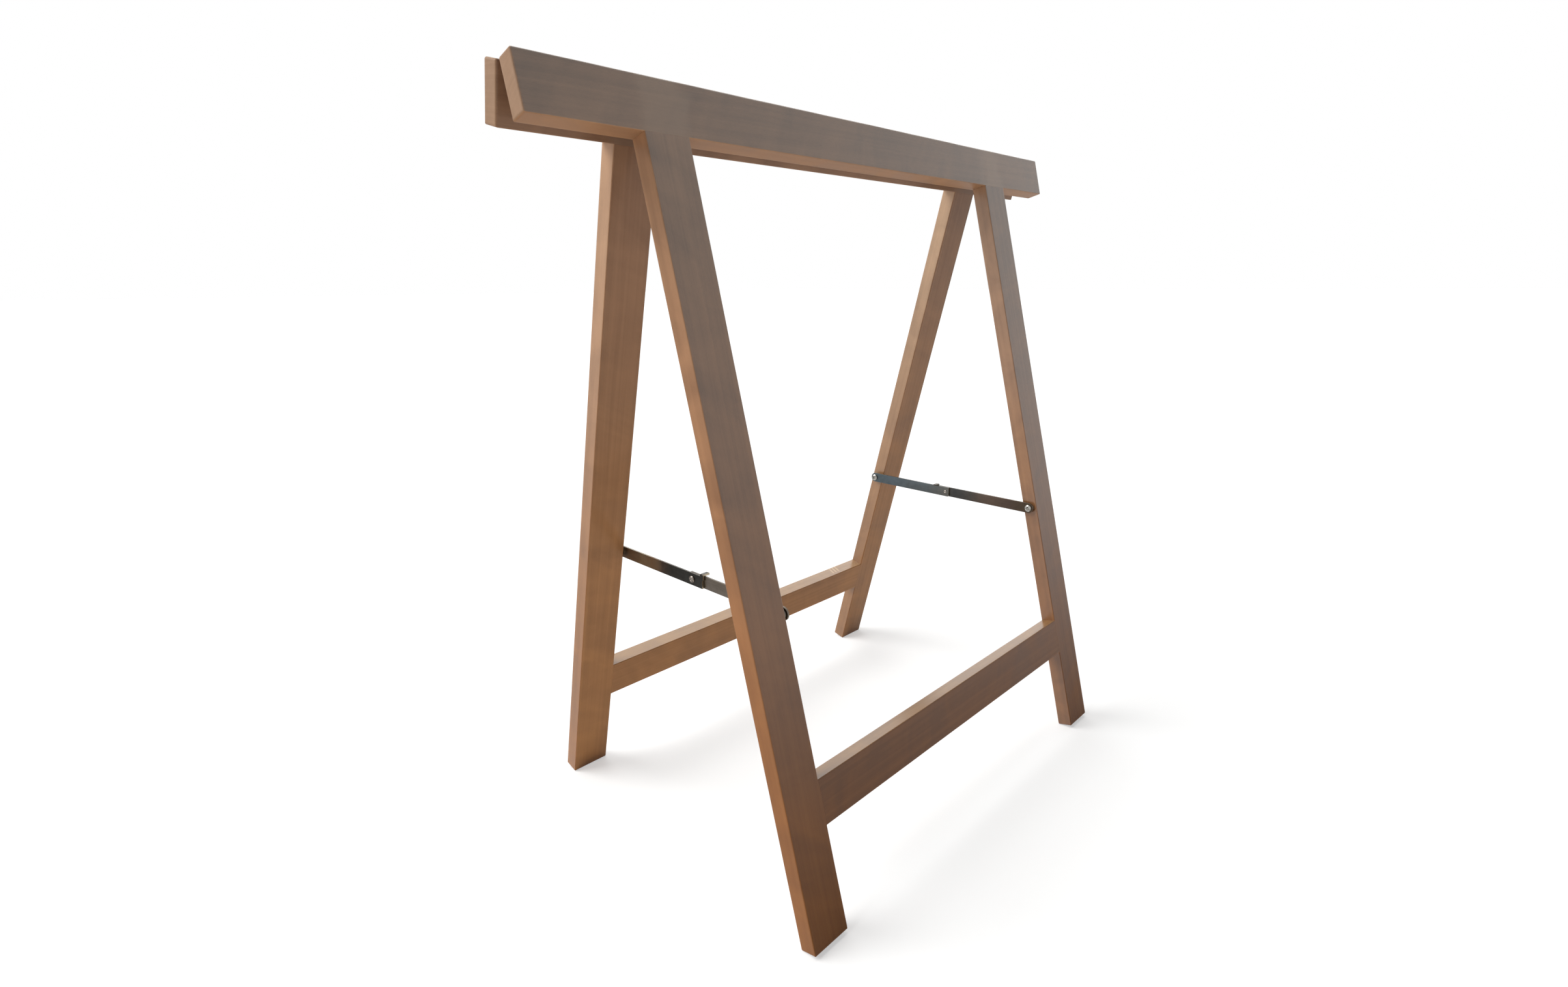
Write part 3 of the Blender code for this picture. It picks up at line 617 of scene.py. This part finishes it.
def platedMaterial(name, key, axis="Y"):
    # Zinc-plated steel strip, cold rolled: a smooth satin metal with painted reflections and painted shade
    # that turn slowly from blue-grey to brown, faint lengthwise streaks, rubbed long edges and, on the bars,
    # one bright sheared end with a painted glint
    settings, reflectionStops, waver = metal[key], metal[key]["along"], metal["colourWaver"]
    material, tree = newMaterial(name)
    coords = addNode(tree, "TexCoord")
    size = [metal["rollLength"] if letter == axis else metal["rollMark"] for letter in "XYZ"]
    stretched = addNode(tree, "VectorMath", {"operation": "DIVIDE"}, {0: (coords, "Object"), 1: size})
    streaks = addNode(tree, "TexNoise", inputs={"Vector": (stretched, 0), "Scale": 1.0, "Detail": 2.0})
    marks = addNode(tree, "TexNoise", inputs={
        "Vector": (coords, "Object"), "Scale": 1 / metal["mark"], "Detail": 3.0})
    patches = addNode(tree, "TexNoise", inputs={
        "Vector": (coords, "Object"), "Scale": metal["colourPatches"], "Detail": 1.0})
    split = addNode(tree, "SeparateXYZ", inputs={0: (coords, "Object")})
    # painted reflections and painted shade along the part, their stops shifted a little by patches
    run = addNode(tree, "MapRange", inputs={
        "Value": (split, axis), fromPair: settings["reach"], toPair: (-waver / 2, 1 - waver / 2)})
    warped = addNode(tree, "Math", timesPlus, {0: (patches, "Fac"), 1: waver, 2: (run, 0)})
    paintedReflection = addNode(tree, "ValToRGB", inputs={"Fac": (warped, 0)})
    for number in range(1, len(reflectionStops) - 1):
        paintedReflection.color_ramp.elements.new(number / (len(reflectionStops) - 1))
    for element, stop in zip(paintedReflection.color_ramp.elements, reflectionStops):
        element.color = linear(stop)
    blend = addNode(tree, "Math", {"operation": "ADD"}, {0: (streaks, "Fac"), 1: (marks, "Fac")})
    lightness = addNode(tree, "MapRange", inputs={
        "Value": (blend, 0), fromPair: metal["markLimits"], toPair: metal["markLightness"]})
    shaded = addNode(tree, "VectorMath", {"operation": "SCALE"}, {
        0: (paintedReflection, "Color"), "Scale": (lightness, 0)})
    normal = addNode(tree, "SeparateXYZ", inputs={0: (coords, "Normal")})
    flatness = addNode(tree, "Math", positive, {0: (normal, "Z" if axis == "X" else "X")})
    rubbed = addNode(tree, "MapRange", inputs={
        "Value": (flatness, 0), fromPair: metal["rubbedFacing"], "To Max": metal["rubbedShare"]})
    colour = addNode(tree, "Mix", colourMix, {
        "Factor": (rubbed, 0), "A": (shaded, 0), "B": linear(metal["rubbedEdge"])})
    # the sheared end: bare steel, lightened further as a painted highlight
    lengthwise = addNode(tree, "Math", times, {0: (normal, axis), 1: settings["end"]})
    sheared = addNode(tree, "MapRange", inputs={
        "Value": (lengthwise, 0), fromPair: metal["shearedFacing"], "To Max": metal["shearedShare"]})
    colour = addNode(tree, "Mix", colourMix, {
        "Factor": (sheared, 0), "A": (colour, "Result"), "B": linear(metal["shearedEnd"])})
    rough = addNode(tree, "MapRange", inputs={
        "Value": (marks, "Fac"), fromPair: noiseMiddle, toPair: metal["platedRoughness"]})
    bump = addNode(tree, "Bump", inputs={
        "Height": (streaks, "Fac"), "Strength": metal["reliefStrength"], "Distance": metal["rollRelief"]})
    shader = addNode(tree, "BsdfPrincipled", inputs={
        "Base Color": (colour, "Result"), "Metallic": 1.0, "Roughness": (rough, 0), "Normal": (bump, 0)})
    addNode(tree, "OutputMaterial", inputs={"Surface": (shader, "BSDF")})
    return material


def brightMaterial(name, key):
    # Bright zinc-plated steel, cold headed: shiny, and duller in small pits and soft clouds
    dull, shiny = metal[key]
    material, tree = newMaterial(name)
    coords = addNode(tree, "TexCoord")
    pits = addNode(tree, "TexNoise", inputs={
        "Vector": (coords, "Object"), "Scale": metal["pits"], "Detail": 3.0})
    clouds = addNode(tree, "TexNoise", inputs={
        "Vector": (coords, "Object"), "Scale": metal["clouds"], "Detail": 1.0})
    blend = addNode(tree, "Math", times, {0: (pits, "Fac"), 1: (clouds, "Fac")})
    spread = addNode(tree, "MapRange", inputs={
        "Value": (blend, 0), fromPair: metal["pitLimits"]})
    colour = addNode(tree, "Mix", colourMix, {"Factor": (spread, 0), "A": linear(dull), "B": linear(shiny)})
    rough = addNode(tree, "MapRange", inputs={
        "Value": (pits, "Fac"), fromPair: noiseMiddle, toPair: metal["brightRoughness"]})
    bump = addNode(tree, "Bump", inputs={
        "Height": (pits, "Fac"), "Strength": metal["reliefStrength"], "Distance": metal["pitRelief"]})
    shader = addNode(tree, "BsdfPrincipled", inputs={
        "Base Color": (colour, "Result"), "Metallic": 1.0, "Roughness": (rough, 0), "Normal": (bump, 0)})
    addNode(tree, "OutputMaterial", inputs={"Surface": (shader, "BSDF")})
    return material


rolledLeaf = platedMaterial("zinc_plated_rolled_leaf", "leaf", "X")
brightSteel = brightMaterial("bright_zinc_steel", "bright")
rivetSteel = brightMaterial("dull_rivet_steel", "rivet")
barSteel = {key: platedMaterial("zinc_plated_" + key, key) for key in metal if key.endswith("Bar")}
arcMiddle = 0.3    # a soft edge's middle point, as a share of the edge from each of its sides


def turnedRings(profile, steps):
    # (radius, height) points turned round Z: x = r cos, y = r sin
    profile = np.array(profile)
    angle = np.linspace(0, 2 * math.pi, steps, endpoint=False)
    return np.stack([profile[:, :1] * np.cos(angle), profile[:, :1] * np.sin(angle),
                     np.repeat(profile[:, 1:], steps, 1)], -1)


screwHead = {
    "wall": [(0.5, 0), (0.97, 0), (1, 0.06), (1, 0.36)],  # shares of the radius and of the height
    "rim": 0.42,        # height at which the dome starts, as a share of the head's
    "domePower": 3.2,
    "domeStart": 0.02,  # share of the radius where its rows start
    "armSlope": 0.22,   # width of the sides of the cross's arms, as a share of their width
    "tipSlope": 0.25,   # length of their tips, as a share of their reach
    "tipDepth": 0.2,    # how deep they still are at their reach
    "anyTurn": 1.57,    # after a quarter turn, a cross looks the same
    "seed": 3,
}
crossTurns = np.random.default_rng(screwHead["seed"])


def recessedHead(radius, height, seat, recess, steps=72, rows=26):
    # A low dome z = h (1 - (r/R)^3.2) over its rim, with a cross sunk into it: the depth falls off outside
    # |x| < w / 2 or |y| < w / 2 and beyond the cross's reach, along straight slopes
    share = np.linspace(screwHead["domeStart"], 1, rows)[::-1]
    angle = np.linspace(0, 2 * math.pi, steps, endpoint=False)
    x, y = share[:, None] * radius * np.cos(angle), share[:, None] * radius * np.sin(angle)
    dome = screwHead["rim"] + (1 - screwHead["rim"]) * (1 - share[:, None] ** screwHead["domePower"])
    narrow = np.minimum(np.abs(x), np.abs(y))
    reach = np.sqrt(x ** 2 + y ** 2)
    inArm = (recess["width"] / 2 - narrow) / (recess["width"] * screwHead["armSlope"]) + 0.5
    inReach = (recess["reach"] - reach) / (recess["reach"] * screwHead["tipSlope"]) + screwHead["tipDepth"]
    z = seat + height * dome - recess["depth"] * np.clip(inArm, 0, 1) * np.clip(inReach, 0, 1)
    wall = turnedRings([(radius * r, seat + height * h) for r, h in screwHead["wall"]], steps)
    return skin(np.concatenate([wall, np.stack([x, y, z], -1)]))


def crossTurn():
    # each screw was driven to another angle
    return Matrix.Rotation(crossTurns.uniform(0, screwHead["anyTurn"]), 4, "Z")


hinge = {
    "pinRadius": 0.00085,
    "pinTip": 0.6,       # share of that radius
    "pinChamfer": 0.0003,
    "knuckleRadius": 0.0021,
    "leafThickness": 0.0009,
    "leafWidth": 0.0135,
    "knuckles": 24,
    "endMargin": 0.025,  # from the rail's end
    "clearance": 0.0004,
    "rollEnd": math.radians(200),
    "rollSteps": 33,
    "screws": 7,
    "screwEndDistance": 0.040,
    "headRadius": 0.0027,
    "headHeight": 0.00082,
    "recess": {"width": 0.0007, "reach": 0.0016, "depth": 0.0005},
    "softEdge": 0.00018,
    "knuckleEdge": 0.000108,
}
leafTop = hinge["leafThickness"] - hinge["knuckleRadius"]
notch = math.sqrt((hinge["knuckleRadius"] + hinge["clearance"]) ** 2 - leafTop ** 2)


def prism(outline, low, high, soft):
    # A closed (y, z) outline carried along X; both ends draw in by a soft edge along the outline's normals
    outline = np.array(outline)
    step = np.roll(outline, -1, 0) - np.roll(outline, 1, 0)
    normal = np.stack([step[:, 1], -step[:, 0]], -1) / np.linalg.norm(step, axis=1)[:, None]
    area = np.sum(outline[:, 0] * np.roll(outline[:, 1], -1) - np.roll(outline[:, 0], -1) * outline[:, 1])
    normal *= math.copysign(1, area)
    stations = [(low, soft), (low + soft * arcMiddle, soft * arcMiddle), (low + soft, 0), (high - soft, 0),
                (high - soft * arcMiddle, soft * arcMiddle), (high, soft)]
    rings = [np.column_stack([np.full(len(outline), x), outline - normal * draw]) for x, draw in stations]
    return skin(np.stack(rings))


def hingeLeaf():
    # The flat strip, then one rolled knuckle for every second place: outer arc R, inner arc R - t
    outerR, width, edge = hinge["knuckleRadius"], hinge["leafWidth"], hinge["softEdge"]
    low, bore, middle = -outerR, outerR - hinge["leafThickness"], edge * arcMiddle
    strip = [(-notch, low), (-notch, leafTop),
             (-width + edge, leafTop), (-width + middle, leafTop - middle), (-width, leafTop - edge),
             (-width, low + edge), (-width + middle, low + middle), (-width + edge, low)]
    length = trestle["railLength"] - 2 * hinge["endMargin"]
    pitch = length / hinge["knuckles"]
    clear = hinge["clearance"] / 2
    shells = [prism(strip, -length / 2 + clear, length / 2 - clear, edge)]
    angle = np.linspace(-math.pi / 2, hinge["rollEnd"], hinge["rollSteps"])
    arc = np.stack([np.cos(angle), np.sin(angle)], -1)
    rolled = np.concatenate([[(-notch, low)], outerR * arc, bore * arc[::-1], [(-notch, leafTop)]])
    for number in range(0, hinge["knuckles"], 2):
        start = number * pitch - length / 2
        shells.append(prism(rolled, start + clear, start + pitch - clear, hinge["knuckleEdge"]))
    return joined(shells)


screwAcross = -(notch + hinge["leafWidth"]) / 2
firstScrew = hinge["screwEndDistance"] - trestle["railLength"] / 2
for side, place in framePlaces.items():
    leaf = addPiece("hinge_" + side + "_leaf_rolled", hingeLeaf(), place, [rolledLeaf])
    standFor(leaf, "hinge_" + side + "_leaf", side + "_frame")
    for number in range(hinge["screws"]):
        x = firstScrew - 2 * firstScrew * number / (hinge["screws"] - 1)
        head = recessedHead(hinge["headRadius"], hinge["headHeight"], trestle["gap"], hinge["recess"],
                            steps=56, rows=18)
        node = "hinge_" + side + "_screw_" + str(number + 1)
        onLeaf = place @ Matrix.Translation((x, screwAcross, leafTop)) @ crossTurn()
        standFor(addPiece(node + "_head", head, onLeaf, [brightSteel]), node, side + "_frame")
pinReach = trestle["railLength"] / 2 - hinge["endMargin"] - hinge["clearance"]
pinRadius, pinTip = hinge["pinRadius"], hinge["pinRadius"] * hinge["pinTip"]
pinStraight = pinReach - hinge["pinChamfer"]
pinProfile = [(pinTip, -pinReach), (pinRadius, -pinStraight), (pinRadius, pinStraight), (pinTip, pinReach)]
pinPlace = Matrix.Translation((0, 0, pinHeight)) @ Matrix.Rotation(math.pi / 2, 4, "Y")
pin = addPiece("hinge_pin_wire", skin(turnedRings(pinProfile, steps=24)), pinPlace, [brightSteel])
standFor(pin, "hinge_pin", "front_frame")
print("hinge is made")


stay = {
    "width": 0.013,
    "thickness": 0.002,
    "standOff": 0.0024,
    "tail": 0.0155,
    "squareReach": 0.0052,  # plain bar past the rivet
    "squareCorner": 0.0014,
    "lugReach": 0.0172,
    "lugLength": 0.0045,
    "noseHeight": 0.0040,
    "overhang": 0.0045,
    "lugBend": 0.0013,      # outer radius of the lug's bend
    "lugFillet": 0.0004,    # and its inner radius
    "softEdge": 0.00022,
    "hairStep": 0.00002,    # length over which the bar's section changes at the lug
    "spacerRadius": 0.0050,
    "spacerEdge": 0.0002,
    "shankRadius": 0.0021,
    "shankTip": [(0.1, 0), (0.5, 0.002), (1, 0.004)],  # share of the radius, and distance from the point
    "shankNeck": 0.9,       # share of the radius at its upper end
    "shankStep": 0.0001,
    "screwDepth": 0.022,
    "neckChamfer": (0.0003, 0.0002),
    "headRadius": 0.0044,
    "headHeight": 0.0026,
    "recess": {"width": 0.0011, "reach": 0.0027, "depth": 0.0014},
    "rivetShank": 0.0018,
    "rivetHead": (0.0037, 0.0016),
    "rivetTail": (0.0025, 0.0011),
    "rivetDimple": 0.55,
    "dimpleWidth": 0.36,
    "domePower": 2.4,
}
gap = trestle["gap"]
lugBarStart = gap + stay["standOff"] + gap
lugBarEnd = lugBarStart + stay["thickness"]
plainBarStart = lugBarEnd + gap
plainBarEnd = plainBarStart + stay["thickness"]


def cornered(points, radius, steps=4):
    # One short curve for each corner of a polygon: (1-t)^2 a + 2 t (1-t) corner + t^2 b
    points = np.array(points, float)
    ends = []
    for neighbour in (1, -1):
        way = np.roll(points, neighbour, 0) - points
        ends.append((points + way * (radius / np.linalg.norm(way, axis=1))[:, None])[:, None])
    t = np.linspace(0, 1, steps + 1)[None, :, None]
    return (1 - t) ** 2 * ends[0] + 2 * t * (1 - t) * points[:, None] + t ** 2 * ends[1]


def plainBar(steps=28):
    # A half circle round the leg's screw, and two corners past the rivet, out of a rectangle's four
    half, end = stay["width"] / 2, -anchorY - stay["squareReach"]
    corners = cornered([(0, half), (end, half), (end, -half), (0, -half)], stay["squareCorner"])
    angle = -math.pi / 2 + np.linspace(0, math.pi, steps + 1)
    roundEnd = half * np.stack([np.cos(angle), np.sin(angle)], -1)
    outline = np.concatenate([roundEnd, *corners[1:3]])
    return prism(outline, legSide - plainBarEnd, legSide - plainBarStart, stay["softEdge"])


def lugBar(roundStart=0.12, roundSteps=26, straightSteps=12):
    # One sheet section carried along the bar. Depth d runs off the wood, height h across the bar. The flat is
    # a rounded rectangle, w/2 sin(a) high each way at w/2 cos(a) past the screw, which makes the round end.
    # Past the step its top edge turns through a quarter circle and runs out over the other bar, and past the
    # tail only its upper part is left.
    half, thick, soft = stay["width"] / 2, stay["thickness"], stay["softEdge"]
    under, bend, fillet = half + gap, stay["lugBend"], stay["lugFillet"]
    out = thick + gap + thick + stay["overhang"]
    quarter = np.linspace(0, math.pi / 2, 7)
    cos, sin = np.cos(quarter), np.sin(quarter)

    def closed(upper, low, draw):
        # draw is how far the section is drawn in, for the soft edges of its ends
        lower = [(thick - draw - soft + soft * cos, low + soft - soft * sin),
                 (draw + soft - soft * sin, low + soft - soft * cos)]
        return np.concatenate([np.column_stack(part) for part in upper + lower])

    def flatSection(high):
        across = np.linspace(soft, thick - soft, 10)[1:-1]    # as many points as the lip has
        return closed([(soft - soft * cos, high - soft + soft * sin), (across, np.full(across.size, high)),
                       (thick - soft + soft * sin, high - soft + soft * cos)], -high, 0)

    def lugSection(low, draw):
        wrap = [(draw + bend - bend * cos, under + thick - draw - bend + bend * sin)]
        lip = [(out - draw - soft + soft * sin[::2], under + thick - draw - soft + soft * cos[::2]),
               (out - draw - soft + soft * cos[::2], under + draw + soft - soft * sin[::2])]
        inside = [(thick - draw + fillet * (1 - cos[::-1]), under + draw - fillet * (1 - sin[::-1]))]
        return closed(wrap + lip + inside, low, draw)

    tail, reach, hair = stay["tail"], stay["lugReach"], stay["hairStep"]
    start, nose, middle = reach - stay["lugLength"], half - stay["noseHeight"], arcMiddle * soft
    rings = [(-anchorY - half * math.cos(angle), flatSection(half * math.sin(angle)))
             for angle in np.linspace(roundStart, math.pi / 2, roundSteps)]
    rings += [(x, flatSection(half)) for x in np.linspace(-anchorY, start, straightSteps)[1:]]
    rings += [(start + hair, lugSection(-half, soft)), (start + middle, lugSection(-half, middle)),
              (start + soft, lugSection(-half, 0)), (tail - soft, lugSection(-half, 0)),
              (tail - middle, lugSection(-half + middle, 0)), (tail, lugSection(-half + soft, 0)),
              (tail + hair, lugSection(nose, 0)), (reach - soft, lugSection(nose, 0)),
              (reach - middle, lugSection(nose + middle, middle)), (reach, lugSection(nose + soft, soft))]
    return skin(np.stack([np.column_stack([legSide - lugBarStart - section[:, 0], np.full(len(section), x),
                                           section[:, 1]]) for x, section in rings]))


def ring(start, end):
    # A rectangle with cut corners, turned round the screw
    bore, outer, edge = stay["shankRadius"] + gap, stay["spacerRadius"], stay["spacerEdge"]
    section = [(bore, start + edge), (bore + edge, start), (outer - edge, start), (outer, start + edge),
               (outer, end - edge), (outer - edge, end), (bore + edge, end), (bore, end - edge)]
    return skin(turnedRings(section, steps=48), wrap=True)


def rivet(innermost=0.04, rows=17):
    # Both ends are domes z = h (sqrt(1 - s^2.4) - d exp(-(s / 0.36)^4)), with s the share of the radius and
    # d the dimple that the setting punch left
    headR, headH = stay["rivetHead"]
    tailR, tailH = stay["rivetTail"]
    head, tail = lugBarStart - gap, plainBarEnd + gap
    share = np.linspace(innermost, 1, rows)
    dimple = stay["rivetDimple"] * np.exp(-(share / stay["dimpleWidth"]) ** 4)
    dome = np.sqrt(1 - share ** stay["domePower"]) - dimple
    headPoints = list(zip(headR * share, head - headH * dome))
    tailPoints = list(zip(tailR * share, tail + tailH * dome))[::-1]
    shankPoints = [(stay["rivetShank"], head), (stay["rivetShank"], tail)]
    return skin(turnedRings(headPoints + shankPoints + tailPoints, steps=48))


def shank(start, end):
    # A pointed tip in two slopes, then a straight cylinder
    r = stay["shankRadius"]
    tip = [(r * share, start + past) for share, past in stay["shankTip"]]
    return skin(turnedRings(tip + [(r, end - stay["shankStep"]), (r * stay["shankNeck"], end)], steps=32))


def addStay(side, half, plainFrame, lugFrame):
    # half turns the stay to its own side; each bar's screw sits in a leg of that bar's frame
    name, plainSteel, lugSteel = side + "_stay", barSteel[side + "PlainBar"], barSteel[side + "LugBar"]
    pivot = half @ Matrix.Translation((0, anchorY, anchorZ))
    middle = half @ Matrix.Translation((0, 0, anchorZ))
    farEnd = half @ Matrix.Translation((0, -anchorY, anchorZ))
    onLeg = Matrix.Translation((legSide, 0, 0)) @ Matrix.Rotation(-math.pi / 2, 4, "Y")
    turns = [crossTurn(), crossTurn()]

    def put(node, label, shell, place, material, body):
        piece = addPiece(name + "_" + node + "_" + label, shell, place, [material])
        standFor(piece, name + "_" + node, body)

    def screwTop(seat, below):
        head = recessedHead(stay["headRadius"], stay["headHeight"], seat, stay["recess"])
        return joined([head, below])

    put("plain_bar", "strip", plainBar(), pivot, plainSteel, name + "_plain")
    put("rivet", "domed", rivet(), middle @ onLeg, rivetSteel, name + "_plain")
    seat = plainBarEnd + gap
    screw = screwTop(seat, shank(-stay["screwDepth"], seat))
    put("plain_bar_screw", "pan", screw, pivot @ onLeg @ turns[0], brightSteel, plainFrame)
    spacer = ring(gap, plainBarStart - gap)
    put("plain_bar_spacer", "ring", spacer, pivot @ onLeg, plainSteel, plainFrame)

    put("lug_bar", "strip", lugBar(), middle, lugSteel, name + "_lug")
    seat, radius, (narrower, chamfer) = lugBarEnd + gap, stay["shankRadius"], stay["neckChamfer"]
    neck = turnedRings([(radius - narrower, gap), (radius, gap + chamfer), (radius, seat)], steps=32)
    screw = screwTop(seat, skin(neck))
    onFar = farEnd @ onLeg
    put("lug_bar_screw_head", "pan", screw, onFar @ turns[1], brightSteel, name + "_lug")
    spacer = ring(gap, lugBarStart - gap)
    put("lug_bar_spacer", "ring", spacer, onFar, lugSteel, name + "_lug")
    below = shank(-stay["screwDepth"], 0)
    put("lug_bar_screw_shank", "end", below, onFar, brightSteel, lugFrame)


addStay("right", Matrix(), "back_frame", "front_frame")
addStay("left", halfTurn, "front_frame", "back_frame")
print("stays are made")
